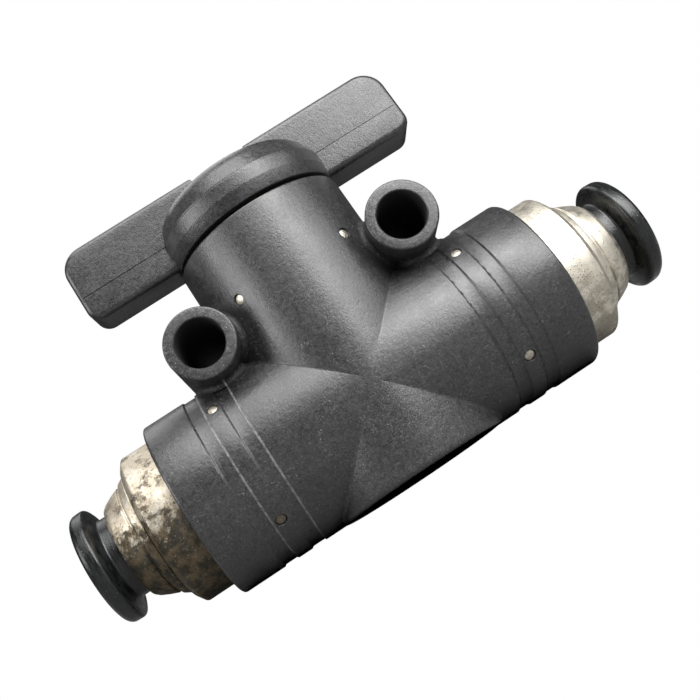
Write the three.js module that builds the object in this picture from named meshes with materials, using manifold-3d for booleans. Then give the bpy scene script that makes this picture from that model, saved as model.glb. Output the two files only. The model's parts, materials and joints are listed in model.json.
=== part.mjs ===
// Inline push-to-connect ball valve for 6 mm tube: black overmoulded body, quarter-turn handle.
// Millimetres. X runs along the barrel, Z runs up the stem, and Z = 0 is the flat under the body.

import * as THREE from "three";
import { mergeVertices } from "three/addons/utils/BufferGeometryUtils.js";
import Module from "manifold-3d";

const wasm = await Module();
wasm.setup();

// ---------- driving dimensions ----------

const fit = 0.1; // gap between pieces that are pressed or screwed together
const running = 0.15; // gap between pieces that move against each other
const nearlyFlush = 0.4; // gap between the bonnet top and the handle
const fineSegments = 36;
const plainSegments = 20;

// body shell
const bodyRadius = 8.2;
const axisHeight = bodyRadius; // the barrel axis above the flat
const bodyHalfLength = 18;
const grooveDepth = 0.25;
const grooveRamp = 0.25; // length of the soft side of a groove
const grooves = [
  [9.9, 11.25],
  [12.65, 14],
];
const endBevel = 0.2;
const bonnetTop = 26.1;
const bonnetBevel = 0.3;

// mounting tubes, one in each corner between bonnet and barrel
const mountX = 9.86;
const mountZ = 18.35;
const mountRadius = 3.09;
const mountHoleRadius = 2.12;
const mountHalfLength = 7.54;

// small round windows left by the pins that held the core in the mould
const windowRadius = 0.5;
const windowAngle = THREE.MathUtils.degToRad(40); // from the front or the back of the body
const barrelWindowX = 11.93;
const bonnetWindowZ = 20;

// metal core
const coreRadius = 7.05;
const coreHalfLength = 21.35;
const coreChamfer = 0.5;
const coreTop = 24.7;
const cavityRadius = 5.2;
const cavityHalfLength = 5.9;
const socketRadius = 5.75; // bore that takes the cartridge sleeves
const stemBoreRadius = 3.3;
const glandRadius = 5;
const glandFloor = 20.5;

// quarter-turn stop
const stopInner = 5.4;
const stopOuter = 6.85;
const stopTop = 26;
const stopAngle = THREE.MathUtils.degToRad(180); // arc of the fixed rib
const quarterTurn = Math.PI / 2;
const stopPlay = THREE.MathUtils.degToRad(2);

// ball and seats
const ballRadius = 4.8;
const flowRadius = 2;
const ballSlotWidth = 1.9;
const ballSlotFloor = 3.2; // above the ball centre
const seatGap = 0.12;
const seatBore = 2.2;
const seatLipRadius = 4.05;
const seatBack = 5.8;

// stem
const stemRadius = stemBoreRadius - running;
const stemFoot = 13.5;
const stemShoulderRadius = 4.6;
const stemShoulder = [21.45, 22.5];
const stemNeckRadius = 2.8;
const tangWidth = 1.5;
const tangLength = 5;
const oRingHeights = [15.8, 18.4];
const oRingSection = 0.45;
const headFlats = 4.2;
const headFrom = 25.6;
const headTo = 30;
const screwHoleRadius = 1.4;
const screwHoleFloor = 25.2;

// handle
const handleBottom = bonnetTop + nearlyFlush;
const hubRadius = 8.33;
const hubFootRadius = 8;
const hubFootHeight = 1.2;
const hubShoulder = 28.9;
const domeFoot = [7.85, 30.2];
const domeBend = [7.4, 31.2];
const domeCrown = [6.2, 31.5];
const hubTop = 32.4; // the wings stand a little higher
const handleTop = 33.55;
const wingHalfLength = 16.9;
const wingThickness = 4.4;
const wingEdge = 0.6;
const wingTopCorner = 2.2;
const wingBottomCorner = 1.3;
const screwSeat = 31;
const screwRecessRadius = 3.3;
const screwHeadRadius = 2.7;
const screwHeadHeight = 1.3;
const washerRadius = 2.9;
const washerBore = 1.65;
const washerTop = screwSeat + fit + 0.5;

// cartridge sleeve and what it holds, measured along the barrel from the valve centre
const sleeveFrom = 7.65;
const sleeveTo = 24.35;
const sleeveRadius = socketRadius - fit;
const sleeveORingX = 10.7;
const sleeveORingSection = 0.34;
const sleeveORingFloor = 0.75; // depth of the groove that holds it
const firstRingRadius = 5.85; // the visible ring against the core's end
const secondRingRadius = 5.15; // the visible ring beyond the groove
const sleeveGrooveX = 22.4;
const tubeRadius = 3;
const tubeBore = tubeRadius + running;
const tubeStop = 11.4;
const chamberFrom = 14;
const chamberRadius = 4.45;
const lipFrom = 22.65;
const lipRadius = 3.85;

// what is packed in the sleeve's chamber, from the tube's end outwards
const sealSpan = [14.15, 16.6];
const guideSpan = [16.75, 19.8];
const clawTipX = 18.75;
const clawRimSpan = [19.95, 20.4];
const clawCount = 8;
const clampSpan = [20.5, 20.9];
const clampBore = 4;

// release collar
const collarNose = 21.7;
const collarEnd = 27.35;
const collarBore = tubeRadius + fit;
const collarNeckRadius = lipRadius - running;
const collarBarbRadius = 4.15;
const collarRimBack = 25.81;
const collarRimRadius = 5.2;

// ---------- shape helpers ----------

// A closed solid from any three.js geometry.
function solid(geometry) {
  const bare = geometry.clone();
  bare.deleteAttribute("normal");
  bare.deleteAttribute("uv");
  const merged = mergeVertices(bare, 1e-4);
  return new wasm.Manifold(
    new wasm.Mesh({
      numProp: 3,
      vertProperties: merged.attributes.position.array,
      triVerts: new Uint32Array(merged.index.array),
    }),
  );
}

// The three.js geometry of a solid.
function geometryOf(body) {
  const mesh = body.getMesh();
  const geometry = new THREE.BufferGeometry();
  geometry.setAttribute("position", new THREE.BufferAttribute(mesh.vertProperties, 3));
  geometry.setIndex(new THREE.BufferAttribute(mesh.triVerts, 1));
  return geometry.toNonIndexed();
}

// Revolves [radius, along] points about the Y axis, in whichever order makes the faces point out.
function revolve(outline, segments) {
  const points = outline.map(([radius, along]) => new THREE.Vector2(radius, along));
  const open = points[0].x === 0 && points[points.length - 1].x === 0;
  if (THREE.ShapeUtils.area(points) < 0) points.reverse();
  if (!open) points.push(points[0].clone());
  return new THREE.LatheGeometry(points, segments);
}

const alongX = (geometry) => geometry.rotateZ(-Math.PI / 2);
const alongZ = (geometry) => geometry.rotateX(Math.PI / 2);

function barrelRound(outline, segments = fineSegments) {
  return alongX(revolve(outline, segments));
}

function stemRound(outline, segments = fineSegments) {
  return alongZ(revolve(outline, segments));
}

// A plain ring, or a disc where the inner radius is 0.
function ringOutline(inner, outer, from, to) {
  return [
    [inner, from],
    [outer, from],
    [outer, to],
    [inner, to],
  ];
}

// Points on an arc about [x, y], angles in degrees.
function arc(x, y, radius, fromDeg, toDeg, steps) {
  return Array.from({ length: steps + 1 }, (_, i) => {
    const angle = THREE.MathUtils.degToRad(fromDeg + ((toDeg - fromDeg) * i) / steps);
    return [x + radius * Math.cos(angle), y + radius * Math.sin(angle)];
  });
}

// A block between two opposite corners.
function block(from, to) {
  const size = to.map((value, i) => value - from[i]);
  const middle = to.map((value, i) => (value + from[i]) / 2);
  return solid(new THREE.BoxGeometry(...size).translate(...middle));
}

// A curved block about the Z axis, centred on the +X direction and turned by an angle.
function sector(inner, outer, bottom, top, width, turn) {
  const shape = new THREE.Shape();
  shape.absarc(0, 0, outer, turn - width / 2, turn + width / 2, false);
  shape.absarc(0, 0, inner, turn + width / 2, turn - width / 2, true);
  const options = { depth: top - bottom, bevelEnabled: false, curveSegments: 20 };
  return solid(new THREE.ExtrudeGeometry(shape, options).translate(0, 0, bottom));
}

const lifted = (body) => body.translate([0, 0, axisHeight]);

// ---------- body ----------

// Outside of the barrel from the middle to one end, with its two shallow grooves.
function barrelHalfOutline() {
  const points = [];
  for (const [from, to] of grooves) {
    points.push([bodyRadius, from]);
    points.push([bodyRadius - grooveDepth, from]);
    points.push([bodyRadius - grooveDepth, to - grooveRamp]);
    points.push([bodyRadius, to]);
  }
  points.push([bodyRadius, bodyHalfLength - endBevel]);
  points.push([bodyRadius - endBevel, bodyHalfLength]);
  return points;
}

function bodyBarrel() {
  const half = barrelHalfOutline();
  const mirrored = half.map(([radius, x]) => [radius, -x]).reverse();
  const outline = [[0, -bodyHalfLength], ...mirrored, ...half, [0, bodyHalfLength]];
  return lifted(solid(barrelRound(outline)));
}

function bodyBonnet() {
  const outline = [
    [0, 0],
    [bodyRadius, 0],
    [bodyRadius, bonnetTop - bonnetBevel],
    [bodyRadius - bonnetBevel, bonnetTop],
    [0, bonnetTop],
  ];
  return solid(stemRound(outline));
}

function mountCylinder(side, radius, halfLength) {
  const cylinder = new THREE.CylinderGeometry(radius, radius, 2 * halfLength, fineSegments);
  return solid(cylinder.translate(side * mountX, 0, mountZ));
}

// The pins' marks: four on the barrel and two on the bonnet, at the back and again at the front.
function windowCuts() {
  const depth = bodyRadius + 1 - coreRadius;
  const pin = () => {
    const cylinder = new THREE.CylinderGeometry(windowRadius, windowRadius, depth, 10);
    return cylinder.translate(0, coreRadius + depth / 2, 0);
  };
  const cuts = [];
  for (const facing of [0, Math.PI]) {
    for (const side of [-1, 1]) {
      for (const level of [-1, 1]) {
        const onBarrel = pin().rotateX(facing + level * windowAngle);
        cuts.push(lifted(solid(onBarrel.translate(side * barrelWindowX, 0, 0))));
      }
      const onBonnet = pin().rotateZ(facing + side * windowAngle);
      cuts.push(solid(onBonnet.translate(0, 0, bonnetWindowZ)));
    }
  }
  return cuts;
}

// Room for the core: through the barrel and up to the open top of the bonnet.
function coreRoom() {
  const radius = coreRadius + fit;
  const through = bodyHalfLength + 1;
  const barrel = lifted(solid(barrelRound(ringOutline(0, radius, -through, through))));
  const bonnet = solid(stemRound(ringOutline(0, radius, axisHeight, bonnetTop + 1)));
  return barrel.add(bonnet);
}

function bodyShell() {
  let shell = bodyBarrel().add(bodyBonnet());
  for (const side of [-1, 1]) shell = shell.add(mountCylinder(side, mountRadius, mountHalfLength));
  shell = shell.subtract(coreRoom());
  for (const side of [-1, 1]) {
    shell = shell.subtract(mountCylinder(side, mountHoleRadius, mountHalfLength + 1));
  }
  for (const cut of windowCuts()) shell = shell.subtract(cut);
  return geometryOf(shell);
}

// Nickel-plated tee that carries the ball, the stem and both cartridges.
function bodyCore() {
  const straight = coreHalfLength - coreChamfer;
  const barrel = [
    [0, -coreHalfLength],
    [coreRadius - coreChamfer, -coreHalfLength],
    [coreRadius, -straight],
    [coreRadius, straight],
    [coreRadius - coreChamfer, coreHalfLength],
    [0, coreHalfLength],
  ];
  const through = coreHalfLength + 1;
  const bore = [
    [0, -through],
    [socketRadius, -through],
    [socketRadius, -cavityHalfLength],
    [cavityRadius, -cavityHalfLength],
    [cavityRadius, cavityHalfLength],
    [socketRadius, cavityHalfLength],
    [socketRadius, through],
    [0, through],
  ];
  const stemBore = [
    [0, axisHeight],
    [stemBoreRadius, axisHeight],
    [stemBoreRadius, glandFloor],
    [glandRadius, glandFloor],
    [glandRadius, stopTop + 1],
    [0, stopTop + 1],
  ];
  const rib = sector(stopInner, stopOuter, coreTop - 1, stopTop, stopAngle, Math.PI);
  return geometryOf(
    lifted(solid(barrelRound(barrel)))
      .add(solid(stemRound(ringOutline(0, coreRadius, axisHeight, coreTop))))
      .add(rib)
      .subtract(lifted(solid(barrelRound(bore))))
      .subtract(solid(stemRound(stemBore))),
  );
}

// ---------- ball, seats and stem ----------

function ball() {
  const reach = ballRadius + 1;
  const bore = barrelRound(ringOutline(0, flowRadius, -reach, reach), plainSegments);
  const slot = block(
    [-ballSlotWidth / 2, -reach, ballSlotFloor],
    [ballSlotWidth / 2, reach, reach],
  );
  const sphere = solid(new THREE.SphereGeometry(ballRadius, 28, 16).rotateX(Math.PI / 2));
  return geometryOf(sphere.subtract(solid(bore)).subtract(slot));
}

// Seat ring with a spherical face that follows the ball.
function ballSeat() {
  const face = ballRadius + seatGap;
  const angleAt = (radius) => THREE.MathUtils.radToDeg(Math.acos(radius / face));
  const outer = cavityRadius - fit;
  const outline = [
    [outer, seatBack],
    [outer, Math.sqrt(face ** 2 - seatLipRadius ** 2)],
    ...arc(0, 0, face, angleAt(seatLipRadius), angleAt(seatBore), 6),
    [seatBore, seatBack],
  ];
  return barrelRound(outline, plainSegments);
}

function seatRetainer() {
  const from = cavityHalfLength + fit;
  return barrelRound(ringOutline(seatBore, sleeveRadius, from, sleeveFrom - fit), plainSegments);
}

function stem() {
  const grooveRadius = stemRadius - 2 * oRingSection;
  const outline = [[0, stemFoot]];
  outline.push([stemRadius, stemFoot]);
  for (const height of oRingHeights) {
    const half = oRingSection + fit;
    outline.push([stemRadius, height - half]);
    outline.push([grooveRadius, height - half]);
    outline.push([grooveRadius, height + half]);
    outline.push([stemRadius, height + half]);
  }
  outline.push([stemRadius, stemShoulder[0]]);
  outline.push([stemShoulderRadius, stemShoulder[0]]);
  outline.push([stemShoulderRadius, stemShoulder[1]]);
  outline.push([stemNeckRadius, stemShoulder[1]]);
  outline.push([stemNeckRadius, headFrom]);
  outline.push([0, headFrom]);
  const tangFoot = axisHeight + ballSlotFloor + running;
  const tang = block(
    [-tangWidth / 2, -tangLength / 2, tangFoot],
    [tangWidth / 2, tangLength / 2, stemFoot + 1],
  );
  const half = headFlats / 2;
  const head = block([-half, -half, headFrom - 0.5], [half, half, headTo]);
  const screwHole = stemRound(ringOutline(0, screwHoleRadius, screwHoleFloor, headTo + 1), plainSegments);
  return geometryOf(
    solid(stemRound(outline, plainSegments)).add(tang).add(head).subtract(solid(screwHole)),
  );
}

function stemORing(height) {
  const middle = stemRadius - oRingSection + fit / 2;
  const section = oRingSection - fit / 2;
  return new THREE.TorusGeometry(middle, section, 6, plainSegments).translate(0, 0, height);
}

function thrustWasher() {
  const inner = stemRadius + running;
  return stemRound(
    ringOutline(inner, glandRadius - fit, glandFloor + fit, stemShoulder[0] - running),
    plainSegments,
  );
}

// Ring pressed in above the stem's shoulder, which keeps the stem from being blown out.
function glandRing() {
  const inner = stemNeckRadius + running;
  const from = stemShoulder[1] + running;
  return stemRound(ringOutline(inner, glandRadius - fit, from, coreTop - fit), plainSegments);
}

// ---------- handle ----------

// Side outline of the two wings as one bar, lying in the XY plane with Y up.
function wingOutline() {
  const lowX = wingHalfLength - wingBottomCorner;
  const lowY = handleBottom + wingBottomCorner;
  const highX = wingHalfLength - wingTopCorner;
  const highY = handleTop - wingTopCorner;
  const shape = new THREE.Shape();
  shape.moveTo(hubRadius, handleBottom);
  shape.lineTo(lowX, lowY - wingBottomCorner);
  shape.absarc(lowX, lowY, wingBottomCorner, -Math.PI / 2, 0, false);
  shape.absarc(highX, highY, wingTopCorner, 0, Math.PI / 2, false);
  shape.absarc(-highX, highY, wingTopCorner, Math.PI / 2, Math.PI, false);
  shape.absarc(-lowX, lowY, wingBottomCorner, Math.PI, 1.5 * Math.PI, false);
  shape.lineTo(-hubRadius, handleBottom);
  return shape;
}

function wings() {
  const options = {
    depth: wingThickness - 2 * wingEdge,
    bevelThickness: wingEdge,
    bevelSize: wingEdge,
    bevelOffset: -wingEdge,
    bevelSegments: 2,
    curveSegments: 5,
  };
  const bar = new THREE.ExtrudeGeometry(wingOutline(), options);
  return alongZ(bar).translate(0, wingThickness / 2 - wingEdge, 0);
}

// Hub with a slightly tapered foot and a domed shoulder.
function hub() {
  const dome = new THREE.Path();
  dome.moveTo(hubRadius, hubShoulder);
  dome.lineTo(...domeFoot);
  dome.quadraticCurveTo(...domeBend, ...domeCrown);
  const outline = [
    [0, handleBottom],
    [hubFootRadius, handleBottom],
    [hubRadius, handleBottom + hubFootHeight],
    ...dome.getPoints(6).map((p) => [p.x, p.y]),
    [4, hubTop],
    [0, hubTop],
  ];
  return stemRound(outline);
}

function handle() {
  const half = headFlats / 2 + running;
  const socket = block([-half, -half, handleBottom - 1], [half, half, headTo + running]);
  const shankHole = ringOutline(0, screwHoleRadius + running, headTo, screwSeat + 1);
  const recess = ringOutline(0, screwRecessRadius, screwSeat, handleTop + 1);
  const lugWidth = 2 * Math.PI - stopAngle - quarterTurn - 2 * stopPlay;
  const lugFoot = coreTop + nearlyFlush;
  const lug = sector(stopInner, stopOuter, lugFoot, handleBottom + 1, lugWidth, quarterTurn / 2);
  return geometryOf(
    solid(hub())
      .add(solid(wings()))
      .add(lug)
      .subtract(socket)
      .subtract(solid(stemRound(shankHole, plainSegments)))
      .subtract(solid(stemRound(recess, plainSegments))),
  );
}

function screwWasher() {
  const outline = ringOutline(washerBore, washerRadius, screwSeat + fit, washerTop);
  return stemRound(outline, plainSegments);
}

// Cross-recess pan-head screw that holds the handle on the stem.
function handleScrew() {
  const tip = screwHoleFloor + 0.5;
  const tipTaper = 0.4;
  const seat = washerTop + fit;
  const shank = screwHoleRadius - fit;
  const outline = [
    [0, tip],
    [shank - tipTaper, tip],
    [shank, tip + tipTaper],
    [shank, seat],
    [screwHeadRadius, seat],
    [screwHeadRadius, seat + 0.8],
    [screwHeadRadius - 0.5, seat + screwHeadHeight - 0.2],
    [0, seat + screwHeadHeight],
  ];
  let screw = solid(stemRound(outline, plainSegments));
  const crossLength = 1.5;
  const crossWidth = 0.3;
  const crossFloor = seat + 0.6;
  const above = seat + 2 * screwHeadHeight;
  for (const [x, y] of [
    [crossLength, crossWidth],
    [crossWidth, crossLength],
  ]) {
    screw = screw.subtract(block([-x, -y, crossFloor], [x, y, above]));
  }
  return geometryOf(screw);
}

// ---------- one push-to-connect end ----------

// Cartridge sleeve: pressed into the core, with two visible rings and a groove between them.
function cartridgeSleeve() {
  const shoulder = coreHalfLength + fit;
  const narrowBore = flowRadius + fit;
  const oRingHalf = sleeveORingSection + 0.26;
  const outline = [
    [narrowBore, sleeveFrom],
    [sleeveRadius, sleeveFrom],
    [sleeveRadius, sleeveORingX - oRingHalf],
    [sleeveRadius - sleeveORingFloor, sleeveORingX - oRingHalf],
    [sleeveRadius - sleeveORingFloor, sleeveORingX + oRingHalf],
    [sleeveRadius, sleeveORingX + oRingHalf],
    [sleeveRadius, shoulder],
    [firstRingRadius, shoulder],
    [firstRingRadius - 0.45, sleeveGrooveX - 0.15],
    [secondRingRadius - 0.15, sleeveGrooveX],
    [secondRingRadius, sleeveGrooveX + 0.15],
    [secondRingRadius - 0.65, sleeveTo - 0.35],
    [lipRadius + 0.35, sleeveTo],
    [lipRadius, sleeveTo],
    [lipRadius, lipFrom],
    [chamberRadius, lipFrom],
    [chamberRadius, chamberFrom],
    [tubeBore, chamberFrom],
    [tubeBore, tubeStop],
    [narrowBore, tubeStop],
  ];
  return barrelRound(outline);
}

function sleeveORing() {
  const middle = sleeveRadius - sleeveORingFloor + sleeveORingSection + fit / 2;
  const ring = new THREE.TorusGeometry(middle, sleeveORingSection, 6, plainSegments);
  return ring.rotateY(Math.PI / 2).translate(sleeveORingX, 0, 0);
}

// Lip seal on the tube, with its notch towards the pressure.
function tubeSeal() {
  const outer = chamberRadius - fit;
  const bore = collarBore + running;
  const [from, to] = sealSpan;
  const outline = [
    [collarBore, from + 0.35],
    [collarBore + 0.35, from],
    [collarBore + 0.65, from + 0.45],
    [outer - 0.55, from + 0.45],
    [outer - 0.25, from],
    [outer, from + 0.25],
    [outer, to],
    [bore, to],
    [bore, from + 1.25],
  ];
  return barrelRound(outline, plainSegments);
}

// Ring that backs the seal and gives the claws their cone.
function guideRing() {
  const outer = chamberRadius - fit;
  const bore = tubeBore + fit / 2;
  const [from, to] = guideSpan;
  const coneFrom = clawTipX - 0.55;
  const outline = [
    [bore, from],
    [outer, from],
    [outer, to],
    [outer - 0.4, to],
    [bore + 0.3, coneFrom],
    [bore, coneFrom],
  ];
  return barrelRound(outline, plainSegments);
}

// Stainless ring with claws that lean inwards along the tube.
function lockClaw() {
  const outer = chamberRadius - fit;
  const tip = tubeBore + 0.02;
  const [rimFrom, rimTo] = clawRimSpan;
  const outline = [
    [tip, clawTipX],
    [outer - 0.55, rimFrom],
    [outer, rimFrom],
    [outer, rimTo],
    [outer - 0.65, rimTo],
    [tip, clawTipX + 0.55],
  ];
  let ring = solid(barrelRound(outline, 3 * clawCount));
  const slotWidth = 0.45;
  const slotEnd = 20.3;
  for (let i = 0; i < clawCount; i += 1) {
    const slot = block([slotEnd - 3, -slotWidth / 2, 2.4], [slotEnd, slotWidth / 2, 4]);
    ring = ring.subtract(slot.rotate([(i * 360) / clawCount, 0, 0]));
  }
  return geometryOf(ring);
}

// Spacer pressed in behind the claws.
function clampRing() {
  return barrelRound(ringOutline(clampBore, chamberRadius - fit, ...clampSpan), plainSegments);
}

// Release collar: thin neck with a barb behind the sleeve's lip, and a thick rounded rim to press.
function releaseCollar() {
  const backRound = 0.5;
  const frontRound = 0.6;
  const barbTop = lipFrom - running;
  const outline = [
    [collarBore, collarNose],
    [collarNeckRadius - 0.2, collarNose],
    [collarBarbRadius, collarNose + 0.5],
    [collarBarbRadius, barbTop],
    [collarNeckRadius, barbTop],
    [collarNeckRadius, collarRimBack - 0.36],
    [collarRimRadius - backRound, collarRimBack],
    ...arc(collarRimRadius - backRound, collarRimBack + backRound, backRound, -45, 0, 3),
    ...arc(collarRimRadius - frontRound, collarEnd - frontRound, frontRound, 0, 90, 5),
    [collarBore + 0.65, collarEnd],
    [collarBore, collarEnd - 0.65],
  ];
  return barrelRound(outline);
}

// ---------- materials ----------

function material(color, roughness, metalness) {
  return new THREE.MeshStandardMaterial({ color, roughness, metalness });
}

const blackPolymer = material(0x232425, 0.55, 0);
const glossyBlack = material(0x121313, 0.3, 0);
const nickel = material(0xb9b2a4, 0.32, 1);
const brass = material(0xb08d4f, 0.35, 1);
const chrome = material(0xd4d6d8, 0.12, 1);
const stainless = material(0xa8acb0, 0.3, 1);
const ptfe = material(0xf1efe8, 0.5, 0);
const rubber = material(0x1a1a1a, 0.75, 0);
const acetal = material(0xe2ded2, 0.45, 0);

// ---------- assembly ----------

const valve = new THREE.Group();

function add(parent, name, geometry, look) {
  const mesh = new THREE.Mesh(geometry, look);
  mesh.name = name;
  parent.add(mesh);
}

add(valve, "body_shell", bodyShell(), blackPolymer);
add(valve, "body_core", bodyCore(), nickel);
add(valve, "stem", stem(), brass);
oRingHeights.forEach((height, i) => {
  add(valve, ["lower_stem_o_ring", "upper_stem_o_ring"][i], stemORing(height), rubber);
});
add(valve, "thrust_washer", thrustWasher(), ptfe);
add(valve, "gland_ring", glandRing(), brass);
add(valve, "handle", handle(), blackPolymer);
add(valve, "screw_washer", screwWasher(), stainless);
add(valve, "handle_screw", handleScrew(), stainless);

const barrelLine = new THREE.Group();
barrelLine.position.z = axisHeight;
valve.add(barrelLine);
add(barrelLine, "ball", ball(), chrome);

for (const [side, turn] of [
  ["right", 0],
  ["left", Math.PI],
]) {
  const end = new THREE.Group();
  end.rotation.z = turn;
  barrelLine.add(end);
  add(end, side + "_ball_seat", ballSeat(), ptfe);
  add(end, side + "_seat_retainer", seatRetainer(), brass);
  add(end, side + "_cartridge_sleeve", cartridgeSleeve(), nickel);
  add(end, side + "_sleeve_o_ring", sleeveORing(), rubber);
  add(end, side + "_tube_seal", tubeSeal(), rubber);
  add(end, side + "_guide_ring", guideRing(), acetal);
  add(end, side + "_lock_claw", lockClaw(), stainless);
  add(end, side + "_clamp_ring", clampRing(), brass);
  add(end, side + "_release_collar", releaseCollar(), glossyBlack);
}

export default valve;
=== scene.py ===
"""Looks for the inline push-to-connect ball valve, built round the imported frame.

Sizes are in millimetres in this file and are turned into metres as each mesh is made. Only the
lamps and the camera's sensor and clip distances are given as Blender takes them.
"""

import json
import math

import bmesh
import bpy
from mathutils import Matrix, Vector


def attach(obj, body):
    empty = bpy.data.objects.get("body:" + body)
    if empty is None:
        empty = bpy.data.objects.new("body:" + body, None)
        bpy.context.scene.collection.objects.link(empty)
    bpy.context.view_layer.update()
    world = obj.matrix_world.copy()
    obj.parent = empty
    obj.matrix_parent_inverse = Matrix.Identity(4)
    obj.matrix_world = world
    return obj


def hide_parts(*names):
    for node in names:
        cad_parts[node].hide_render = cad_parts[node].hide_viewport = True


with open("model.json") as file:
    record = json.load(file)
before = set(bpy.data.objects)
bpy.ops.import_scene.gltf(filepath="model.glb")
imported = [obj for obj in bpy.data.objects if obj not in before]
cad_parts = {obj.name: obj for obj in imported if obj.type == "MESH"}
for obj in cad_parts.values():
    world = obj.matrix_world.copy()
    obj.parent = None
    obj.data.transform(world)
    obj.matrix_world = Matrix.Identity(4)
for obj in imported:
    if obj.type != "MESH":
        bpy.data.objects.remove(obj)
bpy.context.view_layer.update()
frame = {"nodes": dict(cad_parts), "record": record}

MM = 0.001
SIDES = {"left": -1, "right": 1}
FINE = 160  # segments round a large visible surface
MEDIUM = 96
SMALL = 48
TINY = 32
SHARP_ANGLE = math.radians(32)

# body shell
BARREL_Z = 8.2
BODY_RADIUS = 8.2
BODY_HALF = 18.0
BONNET_TOP = 26.1
GROOVES = ((9.9, 11.25), (12.65, 14.0))  # start and end of each, from the valve's middle
GROOVE_DEPTH = 0.13
ROOM_RADIUS = 7.15  # inside of the shell
MOUNT_X = 9.86
MOUNT_Z = 18.35
MOUNT_RADIUS = 3.09
MOUNT_HOLE = 2.12
MOUNT_HALF = 7.54
BORE_DRAFT = 0.42  # how much smaller a mounting hole gets towards the back
WINDOW_RADIUS = 0.5
WINDOW_ANGLE = math.radians(40)
WINDOW_X = 11.93
WINDOW_Z = 20.0
CREASE_FILLET = 0.35  # radius in the creases between barrel and bonnet
TUBE_FILLET = 0.35  # radius where a mounting tube meets the body

# metal core
CORE_RADIUS = 7.05
CORE_HALF = 21.35
CORE_TOP = 24.7
SOCKET_RADIUS = 5.75  # takes a cartridge sleeve
SEAT_HALF = 5.9  # the sockets end here, and a narrower room for the ball begins
SEAT_RADIUS = 5.2
STEM_BORE = 3.3
GLAND_BORE = 5.0
GLAND_Z = 20.5
STOP_RING = (5.4, 6.85)  # radii of the quarter-turn stop's rib and lug

# handle
HANDLE_BOTTOM = 26.5
HANDLE_TOP = 33.55  # top of the wings
HUB_RADIUS = 8.33
HUB_TOP = 32.4
PARTING_Z = 29.0
WING_HALF = 16.9
WING_THICKNESS = 4.4
WING_EDGE = 0.55  # rounding between a wing's faces and its outline
SCREW_SEAT = 31.0
SCREW_HEAD = 2.7
SCREW_SHANK = 1.3

# floor
FLOOR_RADIUS = 200.0
FLOOR_FADE = (40.0, 115.0)  # it fades into the backdrop between these distances

# colours
PLASTIC_DARK = (0.009, 0.009, 0.010)
PLASTIC_LIGHT = (0.024, 0.024, 0.025)
GRAIN = (0.055, 0.054, 0.053)
# lighter groove edges on the left end: wear and a painted highlight
WORN_AND_LIT_EDGE = (0.26, 0.26, 0.25)
DUST = (0.30, 0.29, 0.27)
# painted shade beside the mounting tubes, where their shadows fall
PAINTED_VALLEY_SHADE = (0.003, 0.003, 0.003)
# darker groove edges on the right end: dirt and painted shade
GROOVE_DIRT_AND_SHADE = (0.001, 0.001, 0.001)
# near black inside the mounting holes: painted shade
PAINTED_HOLE_SHADE = (0.002, 0.002, 0.002)
COLLAR_DARK = (0.003, 0.0035, 0.0035)
COLLAR_LIGHT = (0.011, 0.012, 0.012)
COLLAR_DUST = (0.25, 0.25, 0.24)
BLACK_SOIL = (0.010, 0.010, 0.008)
BROWN_SOIL = (0.095, 0.068, 0.038)
BARE_METAL = (0.42, 0.40, 0.35)


# ---------- outlines ----------


def rounded(corners, steps=4):
    """An outline from (along, radius, fillet) corners, with each fillet as an arc."""
    points = []
    count = len(corners)
    for i, (x, r, fillet) in enumerate(corners):
        here = Vector((x, r))
        if not fillet:
            points.append(here)
            continue
        before = (Vector(corners[i - 1][:2]) - here).normalized()
        after = (Vector(corners[(i + 1) % count][:2]) - here).normalized()
        half = before.angle(after) / 2
        centre = here + (before + after).normalized() * fillet / math.sin(half)
        start = here + before * fillet / math.tan(half) - centre
        turn = start.angle_signed(here + after * fillet / math.tan(half) - centre)
        for k in range(steps + 1):
            angle = -turn * k / steps
            c, s = math.cos(angle), math.sin(angle)
            points.append(centre + Vector((start.x * c - start.y * s, start.x * s + start.y * c)))
    return points


def quadratic(a, b, c, steps):
    """Points on a quadratic curve from a to c, bent towards b."""
    a, b, c = Vector(a), Vector(b), Vector(c)
    found = []
    for k in range(steps + 1):
        t = k / steps
        found.append(a * (1 - t) ** 2 + b * 2 * t * (1 - t) + c * t * t)
    return found


def arc(x, y, radius, start, end, steps):
    """Points on an arc, angles in degrees."""
    found = []
    for k in range(steps + 1):
        angle = math.radians(start + (end - start) * k / steps)
        found.append(Vector((x + radius * math.cos(angle), y + radius * math.sin(angle))))
    return found


# ---------- meshes ----------


def new_object(name, bm):
    """An object in the scene from a bmesh in millimetres."""
    bmesh.ops.recalc_face_normals(bm, faces=bm.faces)
    mesh = bpy.data.meshes.new(name)
    bm.to_mesh(mesh)
    bm.free()
    made = bpy.data.objects.new(name, mesh)
    bpy.context.scene.collection.objects.link(made)
    return made


def revolve(name, outline, axis, segments=FINE):
    """A solid from (along, radius) points, turned about the barrel (X) or the stem (Z)."""
    bm = bmesh.new()
    rings = []
    for along, radius in outline:
        steps = 1 if radius < 1e-6 else segments
        ring = []
        for k in range(steps):
            angle = 2 * math.pi * k / segments
            a, b = radius * math.cos(angle), radius * math.sin(angle)
            ring.append(bm.verts.new((along, a, b + BARREL_Z) if axis == "X" else (a, b, along)))
        rings.append(ring)
    closed = len(rings[0]) > 1 and len(rings[-1]) > 1
    pairs = list(zip(rings, rings[1:] + rings[:1])) if closed else list(zip(rings, rings[1:]))
    for one, two in pairs:
        if len(one) == 1 and len(two) == 1:
            continue
        for k in range(segments):
            n = (k + 1) % segments
            corners = [one[k % len(one)], one[n % len(one)], two[n % len(two)], two[k % len(two)]]
            bm.faces.new(list(dict.fromkeys(corners)))
    return new_object(name, bm)


def revolve_at(place, name, outline, segments):
    """A solid of revolution about Z, moved by a matrix."""
    made = revolve(name, outline, "Z", segments)
    made.data.transform(place)
    return made


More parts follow.
